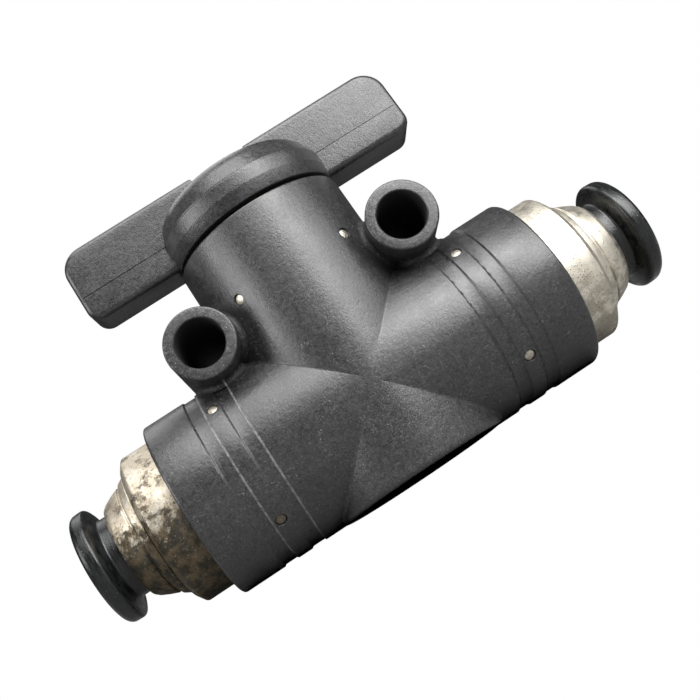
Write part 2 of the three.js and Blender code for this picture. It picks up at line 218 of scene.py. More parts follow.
def box(name, low, high):
    """A box between two corners."""
    bm = bmesh.new()
    bmesh.ops.create_cube(bm, size=1)
    middle = (Vector(low) + Vector(high)) / 2
    size = Vector(high) - Vector(low)
    bmesh.ops.scale(bm, vec=size, verts=bm.verts)
    bmesh.ops.translate(bm, vec=middle, verts=bm.verts)
    return new_object(name, bm)


def combine(target, other, operation):
    """Joins, cuts or intersects target with other, and removes other."""
    modifier = target.modifiers.new("combine", "BOOLEAN")
    modifier.operation = operation
    modifier.solver = "MANIFOLD"
    modifier.object = other
    bpy.context.view_layer.update()
    evaluated = target.evaluated_get(bpy.context.evaluated_depsgraph_get())
    mesh = bpy.data.meshes.new_from_object(evaluated)
    target.modifiers.clear()
    target.data = mesh
    bpy.data.objects.remove(other)


def to_metres(made):
    """Turns a mesh from millimetres to metres and sets its smooth faces and sharp edges."""
    bm = bmesh.new()
    bm.from_mesh(made.data)
    too_close = 0.0001
    bmesh.ops.remove_doubles(bm, verts=bm.verts, dist=too_close)
    bmesh.ops.dissolve_degenerate(bm, edges=bm.edges, dist=too_close)
    for face in bm.faces:
        face.smooth = True
    for edge in bm.edges:
        edge.smooth = len(edge.link_faces) == 2 and edge.calc_face_angle(0) < SHARP_ANGLE
    bmesh.ops.scale(bm, vec=(MM, MM, MM), verts=bm.verts)
    bm.to_mesh(made.data)
    bm.free()


def stands_for(made, body, slot, node):
    """Finishes a piece: it rides on a body and takes the place of a CAD node."""
    to_metres(made)
    made.data.materials.clear()
    made.data.materials.append(LOOKS[slot])
    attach(made, body)
    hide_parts(node)


# ---------- materials ----------


class Nodes:
    """Short calls for building one material's nodes."""

    def __init__(self, name):
        self.material = bpy.data.materials.new(name)
        self.material.use_nodes = True
        self.tree = self.material.node_tree
        self.shader = self.tree.nodes["Principled BSDF"]
        coordinates = self.tree.nodes.new("ShaderNodeTexCoord")
        self.mm = self.vector("SCALE", coordinates.outputs["Object"], scale=1 / MM)
        split = self.tree.nodes.new("ShaderNodeSeparateXYZ")
        self.link(self.mm, split.inputs[0])
        self.along = split.outputs["X"]
        self.across = split.outputs["Y"]
        self.height = split.outputs["Z"]

    def set(self, **values):
        """Sets values that are the same all over on the shader itself."""
        for name, value in values.items():
            self.shader.inputs[name.replace("_", " ")].default_value = value

    def link(self, source, socket):
        self.tree.links.new(source, socket)

    def drive(self, name, source):
        """Lets a source set one of the shader's values."""
        self.link(source, self.shader.inputs[name])

    def vector(self, operation, a, b=None, scale=None):
        node = self.tree.nodes.new("ShaderNodeVectorMath")
        node.operation = operation
        self.link(a, node.inputs[0])
        if b is not None:
            node.inputs[1].default_value = b
        if scale is not None:
            node.inputs["Scale"].default_value = scale
        return node.outputs[0]

    def noise(self, per_mm, detail=2.0, rough=0.5, stretch=(1, 1, 1), offset=0.0):
        """Noise with this many features per millimetre, drawn out along an axis where stretch < 1."""
        where = self.vector("MULTIPLY", self.mm, b=stretch)
        where = self.vector("ADD", where, b=(offset, 1.7 * offset, -offset))
        node = self.tree.nodes.new("ShaderNodeTexNoise")
        self.link(where, node.inputs["Vector"])
        node.inputs["Scale"].default_value = per_mm
        node.inputs["Detail"].default_value = detail
        node.inputs["Roughness"].default_value = rough
        return node.outputs["Fac"]

    def specks(self, per_mm, size, share, offset=0.0):
        """Round specks, one to a filled cell. At most this share of the cells is filled."""
        where = self.vector("ADD", self.mm, b=(offset, -offset, 2 * offset))
        node = self.tree.nodes.new("ShaderNodeTexVoronoi")
        self.link(where, node.inputs["Vector"])
        node.inputs["Scale"].default_value = per_mm
        chance = self.tree.nodes.new("ShaderNodeSeparateColor")
        self.link(node.outputs["Color"], chance.inputs[0])
        filled = self.ramp(chance.outputs[0], 1.0 - share, 1.0 - 0.6 * share)
        disc = self.ramp(node.outputs["Distance"], size * 0.5, size, 1.0, 0.0)
        return self.times(disc, filled)

    def distance(self, a, b):
        """Straight distance of a point that lies a to one side and b to the other."""
        return self.math("SQRT", self.plus(self.times(a, a), self.times(b, b)), 0.0)

    def from_tube_axis(self):
        """Distance in millimetres from the nearer mounting tube's axis."""
        sideways = self.math("SUBTRACT", self.math("ABSOLUTE", self.along, 0.0), MOUNT_X)
        return self.distance(sideways, self.math("SUBTRACT", self.height, MOUNT_Z))

    def near(self, source, place, half):
        """1 where source is at place, fading to 0 where it is half away."""
        gap = self.math("ABSOLUTE", self.math("SUBTRACT", source, place), 0.0)
        return self.ramp(gap, 0.4 * half, half, 1.0, 0.0)

    def groove_edges(self, half):
        """1 along the inner edges of the barrel's grooves, fading to 0 where half away from them."""
        away = self.math("ABSOLUTE", self.along, 0.0)
        edge_middle = 0.03  # from a groove's start
        lines = [self.near(away, start + edge_middle, half) for start, _ in GROOVES]
        barrel_top = BARREL_Z + BODY_RADIUS
        on_barrel = self.ramp(self.height, barrel_top + 0.6, barrel_top + 0.8, 1.0, 0.0)
        return self.times(self.most(*lines), on_barrel)

    def ramp(self, source, low, high, at_low=0.0, at_high=1.0):
        """Goes straight from at_low to at_high as source goes from low to high, and stays there."""
        node = self.tree.nodes.new("ShaderNodeMapRange")
        self.link(source, node.inputs["Value"])
        limits = {"From Min": low, "From Max": high, "To Min": at_low, "To Max": at_high}
        for name, value in limits.items():
            node.inputs[name].default_value = value
        return node.outputs["Result"]

    def math(self, operation, a, b):
        node = self.tree.nodes.new("ShaderNodeMath")
        node.operation = operation
        for value, socket in ((a, node.inputs[0]), (b, node.inputs[1])):
            if isinstance(value, (int, float)):
                socket.default_value = value
            else:
                self.link(value, socket)
        return node.outputs[0]

    def times(self, a, b):
        return self.math("MULTIPLY", a, b)

    def plus(self, a, b):
        return self.math("ADD", a, b)

    def most(self, a, b):
        return self.math("MAXIMUM", a, b)

    def mix(self, factor, a, b):
        """A colour from a, where factor is 0, to b, where it is 1."""
        node = self.tree.nodes.new("ShaderNodeMix")
        node.data_type = "RGBA"
        self.link(factor, node.inputs["Factor"])
        for value, socket in ((a, node.inputs[6]), (b, node.inputs[7])):
            if isinstance(value, tuple):
                socket.default_value = (*value, 1)
            else:
                self.link(value, socket)
        return node.outputs[2]

    def bump(self, heights):
        """Bump from (height source in 0 to 1, depth in millimetres) pairs."""
        normal = None
        for source, depth in heights:
            node = self.tree.nodes.new("ShaderNodeBump")
            node.inputs["Strength"].default_value = 1.0
            node.inputs["Distance"].default_value = depth * MM
            self.link(source, node.inputs["Height"])
            if normal is not None:
                self.link(normal, node.inputs["Normal"])
            normal = node.outputs["Normal"]
        self.drive("Normal", normal)


def dust(n, from_axis):
    """Grit and powder in clusters, more of them low on the body and beside the mounting tubes."""
    low_down = n.ramp(n.height, 22.0, 4.0, 0.0, 0.08)
    by_tube, off_tube = 3.3, 5.4
    by_tubes = n.ramp(from_axis, by_tube, off_tube, 0.28, 0.0)
    spread = n.noise(0.45, detail=4.0, rough=0.6, offset=31.0)
    cluster = n.ramp(n.plus(spread, n.plus(low_down, by_tubes)), 0.52, 0.70, 0.03, 1.0)
    grit = n.times(n.specks(2.2, 0.13, share=0.4), n.times(cluster, 0.60))
    flour = n.ramp(n.noise(6.0, detail=2.0, offset=19.0), 0.56, 0.74)
    powder = n.times(flour, n.times(cluster, 0.22))
    return n.most(grit, powder)


def scratches(n, patch):
    """Short scratches along the barrel, in some patches only."""
    hair = n.noise(5.0, detail=1.0, stretch=(0.22, 1.0, 1.4), offset=47.0)
    return n.times(n.ramp(hair, 0.71, 0.76), n.ramp(patch, 0.48, 0.62, 0.0, 0.18))


def groove_wear_and_light(n, outside):
    """The inner edges of the grooves: worn and lighter on the left end, partly a painted highlight,
    and dirty and darker on the right, partly painted shade.
    """
    broken = n.ramp(n.noise(2.2, detail=4.0, rough=0.7, offset=53.0), 0.38, 0.58, 0.25, 1.0)
    broken = n.times(broken, outside)
    worn_and_lit = n.times(n.groove_edges(0.11), n.ramp(n.along, -1.0, 1.0, 0.75, 0.0))
    dirty_and_shaded = n.times(n.groove_edges(0.20), n.ramp(n.along, -1.0, 1.0, 0.0, 0.95))
    return n.times(worn_and_lit, broken), n.times(dirty_and_shaded, broken)


def black_polymer():
    """Matt glass-filled PBT: fine grain, with dust and scratches, painted shade beside the mounting
    tubes and inside their holes, and groove edges worn with a painted highlight on the left end and
    dirty with painted shade on the right.
    """
    n = Nodes("black_polymer")
    n.set(IOR=1.5)
    grain = n.noise(7.0, detail=4.0, rough=0.65)
    mottle = n.noise(2.6, detail=3.0, rough=0.6, offset=3.0)
    patch = n.noise(0.4, detail=5.0, rough=0.6, offset=11.0)

    from_axis = n.from_tube_axis()
    bore = n.ramp(from_axis, MOUNT_HOLE, MOUNT_HOLE + 0.05, 1.0, 0.0)
    outside = n.ramp(from_axis, MOUNT_RADIUS + 0.01, MOUNT_RADIUS + 0.06)
    beside = n.ramp(from_axis, MOUNT_RADIUS + 0.5, MOUNT_RADIUS + 2.2, 1.0, 0.0)
    shaded_valley = n.times(outside, beside)
    worn_and_lit, dirty_and_shaded = groove_wear_and_light(n, outside)
    marks = n.most(dust(n, from_axis), scratches(n, patch))

    colour = n.mix(n.ramp(mottle, 0.3, 0.7), PLASTIC_DARK, PLASTIC_LIGHT)
    colour = n.mix(n.ramp(grain, 0.48, 0.72, 0.0, 0.8), colour, GRAIN)
    # painted shade: darker beside the mounting tubes, where their shadows fall
    colour = n.mix(n.times(shaded_valley, 0.85), colour, PAINTED_VALLEY_SHADE)
    # wear and a painted highlight: the grooves' inner edges lighter on the left end
    colour = n.mix(worn_and_lit, colour, WORN_AND_LIT_EDGE)
    # dirt and painted shade: the grooves' inner edges darker on the right end
    colour = n.mix(dirty_and_shaded, colour, GROOVE_DIRT_AND_SHADE)
    colour = n.mix(marks, colour, DUST)
    # painted shade: the inside of the mounting holes near black
    n.drive("Base Color", n.mix(bore, colour, PAINTED_HOLE_SHADE))

    shine = n.plus(n.ramp(patch, 0.3, 0.7, 0.27, 0.37), n.ramp(mottle, 0.3, 0.7, -0.03, 0.05))
    shine = n.plus(shine, n.times(marks, 0.08))
    dull = n.most(n.times(bore, 0.95), n.times(shaded_valley, 0.70))
    dull = n.most(dull, n.times(dirty_and_shaded, 0.9))
    n.drive("Roughness", n.most(shine, dull))
    n.bump([(grain, 0.016), (mottle, 0.020), (marks, 0.004)])
    return n.material


def collar_polymer():
    """Moulded acetal: smoother than the body, with faint streaks round it and a little dust."""
    n = Nodes("collar_polymer")
    n.set(IOR=1.42)
    streak = n.noise(3.0, detail=3.0, rough=0.65, stretch=(2.5, 0.35, 0.35), offset=7.0)
    patch = n.noise(0.6, detail=3.0, offset=23.0)
    specks = n.times(n.specks(2.6, 0.14, share=0.6, offset=9.0), n.ramp(patch, 0.42, 0.60))
    colour = n.mix(n.ramp(streak, 0.4, 0.7), COLLAR_DARK, COLLAR_LIGHT)
    n.drive("Base Color", n.mix(n.times(specks, 0.4), colour, COLLAR_DUST))
    n.drive("Roughness", n.ramp(streak, 0.35, 0.7, 0.24, 0.42))
    n.bump([(streak, 0.010), (n.noise(6.0, detail=3.0), 0.012), (specks, 0.004)])
    return n.material


def grime_low_down(n, left, amount):
    """Where grime lies on the metal: low down, and higher up towards the left end."""
    blotch = n.ramp(n.noise(0.7, detail=7.0, rough=0.72, offset=41.0), 0.3, 0.7, -0.5, 0.5)
    lower = n.plus(n.ramp(n.height, 10.0, 4.0), n.times(left, 0.62))
    lower = n.math("SUBTRACT", lower, 0.30)
    dirt = n.ramp(n.plus(lower, blotch), 0.38, 0.66, 0.0, amount)
    return n.times(dirt, n.ramp(left, 0.0, 1.0, 0.45, 1.0))


def soiled(n, colour, dirt):
    """The colour under black and brown soil, with small glints of bare metal in it."""
    soil = n.ramp(n.noise(1.1, detail=5.0, rough=0.65, offset=61.0), 0.42, 0.60)
    colour = n.mix(dirt, colour, n.mix(soil, BLACK_SOIL, BROWN_SOIL))
    glints = n.times(n.specks(4.6, 0.36, share=0.4, offset=13.0), n.times(dirt, 0.35))
    return n.mix(glints, colour, BARE_METAL)


def turned_metal(name, bright, dull, roughness, tarnish=0.5, grime=0.0):
    """Turned metal: fine tool marks, dull patches, pits, and grime if it is given."""
    n = Nodes(name)
    n.set(Metallic=1.0)
    patch = n.noise(0.6, detail=6.0, rough=0.62, offset=3.0)
    left = n.ramp(n.along, -20.0, 18.0, 1.0, 0.0)
    cloudy = n.ramp(n.plus(patch, n.times(left, 0.16)), 0.46, 0.68, 0.0, tarnish)
    cloudy = n.times(cloudy, n.ramp(left, 0.0, 1.0, 0.40, 1.0))
    tool_marks = n.noise(11.0, detail=2.0, stretch=(1.0, 0.04, 0.04), offset=17.0)
    fine = n.specks(4.2, 0.32, share=0.9, offset=2.0)
    pits = n.times(fine, n.ramp(patch, 0.38, 0.58, 0.55, 1.0))
    dirt = grime_low_down(n, left, grime)

    colour = n.mix(cloudy, bright, dull)
    colour = n.mix(n.times(pits, 0.8), colour, tuple(c * 0.25 for c in dull))
    n.drive("Base Color", soiled(n, colour, dirt))

    spread = n.noise(1.6, detail=3.0, offset=29.0)
    clean = n.ramp(spread, 0.3, 0.7, roughness - 0.06, roughness + 0.08)
    n.drive("Roughness", n.plus(clean, n.plus(n.times(cloudy, 0.12), n.times(dirt, 0.2))))
    n.bump([(tool_marks, 0.005), (n.noise(2.2, detail=4.0, offset=5.0), 0.010), (pits, 0.012)])
    return n.material


def plain_polymer(name, light, dark, roughness, grain_depth):
    """Moulded seal or bearing material with a soft surface."""
    n = Nodes(name)
    grain = n.noise(7.0, detail=3.0)
    patch = n.noise(0.8, detail=3.0, offset=13.0)
    n.drive("Base Color", n.mix(n.ramp(patch, 0.3, 0.7), dark, light))
    n.drive("Roughness", n.ramp(grain, 0.3, 0.7, roughness - 0.05, roughness + 0.08))
    n.bump([(grain, grain_depth)])
    return n.material


# one material for each of the record's material slots
LOOKS = {
    "black_polymer": black_polymer(),
    "collar_polymer": collar_polymer(),
    "nickel_plate": turned_metal(
        "nickel_plate", (0.64, 0.60, 0.515), (0.37, 0.32, 0.245), 0.42, tarnish=0.85, grime=0.9
    ),
    "brass": turned_metal("brass", (0.75, 0.55, 0.26), (0.42, 0.29, 0.13), 0.32),
    "chrome_plate": turned_metal(
        "chrome_plate", (0.80, 0.81, 0.82), (0.62, 0.63, 0.65), 0.12, tarnish=0.3
    ),
    "stainless": turned_metal("stainless", (0.62, 0.63, 0.64), (0.40, 0.40, 0.40), 0.30),
    "ptfe": plain_polymer("ptfe", (0.85, 0.84, 0.80), (0.76, 0.75, 0.70), 0.45, 0.004),
    "nbr_rubber": plain_polymer(
        "nbr_rubber", (0.022, 0.022, 0.023), (0.012, 0.012, 0.013), 0.62, 0.006
    ),
    "acetal": plain_polymer("acetal", (0.74, 0.71, 0.63), (0.66, 0.63, 0.55), 0.42, 0.004),
}


# ---------- body shell ----------


def barrel_outline():
    """The barrel's outline. Each groove has a steep inner side and a gentle outer side."""
    half = []
    floor = BODY_RADIUS - GROOVE_DEPTH
    steep, gentle = 0.04, 0.16
    for start, end in GROOVES:
        half += [
            (start, BODY_RADIUS, 0.1),
            (start + steep, floor, 0.03),
            (end - gentle, floor, 0.08),
            (end, BODY_RADIUS, 0.08),
        ]
    half += [(BODY_HALF, BODY_RADIUS, 0.28), (BODY_HALF, 0, 0)]
    mirrored = [(-x, r, fillet) for x, r, fillet in reversed(half)]
    return rounded(mirrored + half)


def front_and_back(angle, turn_axis):
    """Matrices that turn +Z onto the front or the back of the body, then by an angle."""
    tilt = Matrix.Rotation(angle, 4, turn_axis)
    return [tilt @ Matrix.Rotation(math.radians(facing), 4, "X") for facing in (90, -90)]


def fillet_strip(name, stations, radius, closed):
    """A solid strip that fills a crease with the surface of a ball rolled along it.

    Each station has the ball's centre and the directions from it to the two touched surfaces.
    """
    steps = 6
    proud = 0.003  # the strip stands this far out of the surfaces it joins, for a clean union
    bm = bmesh.new()
    rings = []
    for centre, one, two in stations:
        half = one.angle(two) / 2
        ring = []
        for k in range(steps + 1):
            ring.append(centre + one.slerp(two, k / steps) * (radius - proud))
        root = min(radius / math.cos(half) + 0.3, 3 * radius)  # lies inside the two solids
        ring.append(centre + (one + two).normalized() * root)
        rings.append([bm.verts.new(point) for point in ring])
    count = steps + 2
    for one, two in zip(rings, rings[1:] + (rings[:1] if closed else [])):
        for k in range(count):
            n = (k + 1) % count
            bm.faces.new((one[k], one[n], two[n], two[k]))
    if not closed:
        bm.faces.new(rings[0])
        bm.faces.new(rings[-1])
    return new_object(name, bm)


def body_creases():
    """Strips in the creases where the bonnet and the barrel cross.

    A crease above the barrel's axis is one strip. One below it is two, because its middle would lie
    under the flat. At 90 degrees the surfaces are flush, so each strip ends a little before that.
    """
    reach = BODY_RADIUS + CREASE_FILLET
    above = ((-86, 86),)
    below = ((-86, -18), (18, 86))
    strips = []
    for side in SIDES.values():
        for level, spans in ((1, above), (-1, below)):
            for low_turn, high_turn in spans:
                steps = max(8, (high_turn - low_turn) // 2)
                stations = []
                for k in range(steps + 1):
                    turn = math.radians(low_turn + (high_turn - low_turn) * k / steps)
                    c, s = math.cos(turn), math.sin(turn)
                    centre = Vector((side * reach * c, reach * s, BARREL_Z + level * reach * c))
                    to_bonnet = Vector((-side * c, -s, 0))
                    to_barrel = Vector((0, -s, -level * c))
                    stations.append((centre, to_bonnet, to_barrel))
                strips.append(fillet_strip("crease", stations, CREASE_FILLET, closed=False))
    return strips


def tube_creases(side):
    """Closed strips where one mounting tube meets the bonnet and the barrel."""
    round_tube = MOUNT_RADIUS + TUBE_FILLET
    round_body = BODY_RADIUS + TUBE_FILLET
    steps = 40
    strips = []
    # the bonnet lies towards the stem, at 180 degrees round the tube, and the barrel below, at 270
    for middle, gap, upright in ((180, MOUNT_X, True), (270, MOUNT_Z - BARREL_Z, False)):
        spread = math.acos((gap - round_body) / round_tube)
        path = []
        for k in range(1, 2 * steps):
            along = math.cos(math.pi * k / (2 * steps))
            path.append(math.radians(middle) + spread * along)
        stations = []
        for facing in (-1, 1):
            for turn in path if facing < 0 else reversed(path):
                out = Vector((math.cos(turn), 0, math.sin(turn)))
                x = MOUNT_X + round_tube * out.x
                z = MOUNT_Z + round_tube * out.z
                from_axis = x if upright else z - BARREL_Z
                y = facing * math.sqrt(max(round_body**2 - from_axis**2, 0))
                to_body = -Vector((x, y, 0)) if upright else -Vector((0, y, z - BARREL_Z))
                centre = Vector((side * x, y, z))
                to_tube = Vector((-side * out.x, 0, -out.z))
                to_body = Vector((side * to_body.x, to_body.y, to_body.z)).normalized()
                stations.append((centre, to_tube, to_body))
        strips.append(fillet_strip("tube_crease", stations, TUBE_FILLET, closed=True))
    return strips


def tube_place(side):
    """Matrix that turns +Z to the front, -Y, and moves it to a mounting tube."""
    to_front = Matrix.Rotation(math.radians(90), 4, "X")
    return Matrix.Translation((side * MOUNT_X, 0, MOUNT_Z)) @ to_front


def tube_outline():
    """A mounting tube from its back face to its front face, still without its hole."""
    return rounded([
        (-MOUNT_HALF, 0, 0),
        (-MOUNT_HALF, MOUNT_RADIUS, 0.16),
        (MOUNT_HALF, MOUNT_RADIUS, 0.16),
        (MOUNT_HALF, 0, 0),
    ])


def hole_outline():
    """A mounting hole: chamfered at both ends, and narrower at the back."""
    chamfer = 0.1
    past = MOUNT_HALF + 0.1
    far_radius = MOUNT_HOLE - BORE_DRAFT
    return [
        (-past, 0),
        (-past, far_radius + chamfer + 0.1),
        (-MOUNT_HALF + chamfer, far_radius),
        (MOUNT_HALF - chamfer, MOUNT_HOLE),
        (past, MOUNT_HOLE + chamfer + 0.1),
        (past, 0),
    ]


def window_places():
    """Matrices for the twelve windows.

    On the front and on the back there are two at each end of the barrel and two on the bonnet.
    """
    places = []
    for side in SIDES.values():
        for level in (-1, 1):
            for turn in front_and_back(level * WINDOW_ANGLE, "X"):
                places.append(Matrix.Translation((side * WINDOW_X, 0, BARREL_Z)) @ turn)
        for turn in front_and_back(side * WINDOW_ANGLE, "Z"):
            places.append(Matrix.Translation((0, 0, WINDOW_Z)) @ turn)
    return places


def window_outline():
    """A window's round hole, from the core to just outside the shell, with a flared mouth."""
    outer = BODY_RADIUS + 0.05
    flare, flare_length = 0.06, 0.15
    return [
        (CORE_RADIUS, 0),
        (CORE_RADIUS, WINDOW_RADIUS),
        (outer - flare_length, WINDOW_RADIUS),
        (outer, WINDOW_RADIUS + flare),
        (outer, 0),
    ]


def stud_outline():
    """A low round stud of the core, which nearly fills a window."""
    root = CORE_RADIUS - 0.5
    top = BODY_RADIUS - 0.15
    radius = WINDOW_RADIUS - 0.03
    return rounded([(root, 0, 0), (root, radius, 0), (top, radius, 0.1), (top + 0.08, 0, 0)])


def build_shell():
    """The moulded shell: barrel, bonnet and mounting tubes, hollow, with holes and windows."""
    shell = revolve("shell", barrel_outline(), "X")
    bonnet = [(0, 0, 0), (0, BODY_RADIUS, 0.5), (BONNET_TOP, BODY_RADIUS, 0.18), (BONNET_TOP, 0, 0)]
    combine(shell, revolve("bonnet", rounded(bonnet), "Z"), "UNION")
    for strip in body_creases():
        combine(shell, strip, "UNION")
    for side in SIDES.values():
        combine(shell, revolve_at(tube_place(side), "mount", tube_outline(), MEDIUM), "UNION")
        for strip in tube_creases(side):
            combine(shell, strip, "UNION")
    end = BODY_HALF + 1
    room = [(-end, 0), (-end, ROOM_RADIUS), (end, ROOM_RADIUS), (end, 0)]
    combine(shell, revolve("room", room, "X"), "DIFFERENCE")
    top = BONNET_TOP + 1
    room = [(BARREL_Z, 0), (BARREL_Z, ROOM_RADIUS), (top, ROOM_RADIUS), (top, 0)]
    combine(shell, revolve("room", room, "Z"), "DIFFERENCE")
    for side in SIDES.values():
        combine(shell, revolve_at(tube_place(side), "hole", hole_outline(), MEDIUM), "DIFFERENCE")
    for place in window_places():
        combine(shell, revolve_at(place, "window", window_outline(), TINY), "DIFFERENCE")
    return shell


def stop_outline(low, high):
    """Section of the quarter-turn stop's ring, from which the rib and the lug are cut."""
    inner, outer = STOP_RING
    return [(low, inner), (low, outer), (high, outer), (high, inner)]


def build_core():
    """The metal tee: its turned ends show beyond the shell, and the rest through the windows."""
    chamfer, chamfer_length = 0.7, 0.5
    body = rounded([
        (-CORE_HALF, 0, 0),
        (-CORE_HALF, CORE_RADIUS - chamfer, 0.1),
        (-CORE_HALF + chamfer_length, CORE_RADIUS, 0.25),
        (CORE_HALF - chamfer_length, CORE_RADIUS, 0.25),
        (CORE_HALF, CORE_RADIUS - chamfer, 0.1),
        (CORE_HALF, 0, 0),
    ])
    core = revolve("core", body, "X")
    stand = [(BARREL_Z, 0), (BARREL_Z, CORE_RADIUS), (CORE_TOP, CORE_RADIUS), (CORE_TOP, 0)]
    combine(core, revolve("stand", stand, "Z"), "UNION")
    rib_top = 26.0
    rib = revolve("rib", stop_outline(CORE_TOP - 0.5, rib_top), "Z", MEDIUM)
    combine(rib, box("half", (0, -10, 20), (10, 10, 30)), "DIFFERENCE")
    combine(core, rib, "UNION")
    end = 22
    sockets = [
        (-end, 0),
        (-end, SOCKET_RADIUS),
        (-SEAT_HALF, SOCKET_RADIUS),
        (-SEAT_HALF, SEAT_RADIUS),
        (SEAT_HALF, SEAT_RADIUS),
        (SEAT_HALF, SOCKET_RADIUS),
        (end, SOCKET_RADIUS),
        (end, 0),
    ]
    combine(core, revolve("socket", sockets, "X"), "DIFFERENCE")
    top = 27
    bore = [
        (BARREL_Z, 0),
        (BARREL_Z, STEM_BORE),
        (GLAND_Z, STEM_BORE),
        (GLAND_Z, GLAND_BORE),
        (top, GLAND_BORE),
        (top, 0),
    ]
    combine(core, revolve("bore", bore, "Z"), "DIFFERENCE")
    for place in window_places():
        combine(core, revolve_at(place, "stud", stud_outline(), TINY), "UNION")
    return core


# ---------- handle ----------


def wing_outline(inset):
    """Side outline of the bar of two wings, as (x, z) points, moved inwards by an inset."""
    low_corner, high_corner = 1.3, 2.2
    low_x, low_z = WING_HALF - low_corner, HANDLE_BOTTOM + low_corner
    high_x, high_z = WING_HALF - high_corner, HANDLE_TOP - high_corner
    points = [Vector((HUB_RADIUS, HANDLE_BOTTOM + inset))]
    points += arc(low_x, low_z, low_corner - inset, -90, 0, 8)
    points += arc(high_x, high_z, high_corner - inset, 0, 90, 12)
    return points + [Vector((-p.x, p.y)) for p in reversed(points)]


def build_wings():
    """A bar with rounded edges: the side outline stepped inwards towards each face."""
    steps = 6
    levels = []
    for k in range(steps + 1):
        angle = math.radians(90 * k / steps)
        across = WING_THICKNESS / 2 - WING_EDGE * (1 - math.sin(angle))
        levels.append((across, WING_EDGE * (1 - math.cos(angle))))
    levels = [(-across, inset) for across, inset in reversed(levels)] + levels
    bm = bmesh.new()
    rings = [[bm.verts.new((p.x, y, p.y)) for p in wing_outline(inset)] for y, inset in levels]
    count = len(rings[0])
    for one, two in zip(rings, rings[1:]):
        for k in range(count):
            n = (k + 1) % count
            bm.faces.new((one[k], one[n], two[n], two[k]))
    bm.faces.new(rings[0])
    bm.faces.new(rings[-1])
    return new_object("wings", bm)


def hub_outline():
    """The hub's outline: a tapered foot, a slanted shoulder, a dome and a nearly flat crown."""
    shoulder, bend, crown = (30.2, 7.85), (31.2, 7.4), (31.5, 6.2)
    lower = rounded([
        (HANDLE_BOTTOM, 0, 0),
        (HANDLE_BOTTOM, 8.1, 0.12),
        (HANDLE_BOTTOM + 1.2, HUB_RADIUS, 0.6),
        (28.9, HUB_RADIUS, 0.3),
        (*shoulder, 0.0),
    ])
    dome = quadratic(shoulder, bend, crown, 10)
    top = [Vector((HUB_TOP - 0.15, 4.2)), Vector((HUB_TOP, 3.9)), Vector((HUB_TOP, 0))]
    return lower + dome[1:] + top


def parting_cutter():
    """A thin ring that scores the mould's parting line round the hub and the wings."""
    depth, half = 0.06, 0.05
    slab = box("slab", (-20, -12, PARTING_Z - half), (20, 12, PARTING_Z + half))
    inner = HUB_RADIUS - depth
    hub = revolve("inner", [(20, 0), (20, inner), (40, inner), (40, 0)], "Z")
    combine(slab, hub, "DIFFERENCE")
    x, y = WING_HALF - depth, WING_THICKNESS / 2 - depth
    combine(slab, box("bar", (-x, -y, 20), (x, y, 40)), "DIFFERENCE")
    return slab


def recess_outline():
    """The recess in the hub's crown, with a rounded mouth, for the screw and its washer."""
    radius, mouth, clear = 3.3, 3.5, 3.8
    return rounded([
        (SCREW_SEAT, 0, 0),
        (SCREW_SEAT, radius, 0.2),
        (HUB_TOP - 0.15, radius, 0.0),
        (HUB_TOP + 0.1, mouth, 0.3),
        (HANDLE_TOP - 0.2, mouth, 0.0),
        (HANDLE_TOP + 0.1, clear, 0.0),
        (HANDLE_TOP + 1, clear, 0.0),
        (HANDLE_TOP + 1, 0, 0),
    ])


def build_handle():
    """The moulded handle: hub and wings, with a square socket for the stem and a lug for the stop."""
    handle = revolve("handle_moulding", hub_outline(), "Z")
    combine(handle, build_wings(), "UNION")
    combine(handle, revolve("recess", recess_outline(), "Z", MEDIUM), "DIFFERENCE")
    below = 25
    hole = SCREW_SHANK + 0.25
    shank = [(below, 0), (below, hole), (32, hole), (32, 0)]
    combine(handle, revolve("shank", shank, "Z", SMALL), "DIFFERENCE")
    square, square_top = 2.25, 30.15
    socket = box("socket", (-square, -square, below), (square, square, square_top))
    combine(handle, socket, "DIFFERENCE")
    combine(handle, parting_cutter(), "DIFFERENCE")
    lug_bottom, lug_top = 25.1, 27.5
    lug = revolve("lug", stop_outline(lug_bottom, lug_top), "Z", MEDIUM)
    combine(lug, box("quarter", (0, 0, 20), (10, 10, 30)), "INTERSECT")
    combine(handle, lug, "UNION")
    return handle


def cross_blade(height, turn):
    """A tapered flat blade, point down, that cuts one slot of the screw's cross."""
    bm = bmesh.new()
    bmesh.ops.create_cone(bm, segments=4, radius1=0.25, radius2=2.2, depth=1.7, cap_ends=True)
    bmesh.ops.rotate(bm, matrix=Matrix.Rotation(math.radians(45), 3, "Z"), verts=bm.verts)
    bmesh.ops.scale(bm, vec=(1, 0.2, 1), verts=bm.verts)
    bmesh.ops.translate(bm, vec=(0, 0, height), verts=bm.verts)
    bmesh.ops.rotate(bm, matrix=Matrix.Rotation(math.radians(turn), 3, "Z"), verts=bm.verts)
    return new_object("cross", bm)


def build_screw():
    """A round-headed screw with a cross recess."""
    seat = SCREW_SEAT + 0.7
    tip = 25.7
    outline = rounded([
        (tip, 0, 0),
        (tip, 0.9, 0),
        (tip + 0.4, SCREW_SHANK, 0),
        (seat, SCREW_SHANK, 0),
        (seat, SCREW_HEAD, 0.1),
        (seat + 0.65, SCREW_HEAD, 0.3),
        (seat + 1.3, 1.7, 0.8),
        (seat + 1.3, 0, 0),
    ])
    screw = revolve("handle_screw_turned", outline, "Z", SMALL)
    for turn in (20, 110):
        combine(screw, cross_blade(seat + 1.05, turn), "DIFFERENCE")
    return screw


def build_washer():
    """The flat washer between the screw's head and the recess."""
    low, high = SCREW_SEAT + 0.1, SCREW_SEAT + 0.6
    inner, outer = 1.65, 2.9
    corners = [(low, inner, 0.05), (low, outer, 0.08), (high, outer, 0.12), (high, inner, 0.08)]
    return revolve("screw_washer_turned", rounded(corners), "Z", MEDIUM)


# ---------- ends ----------


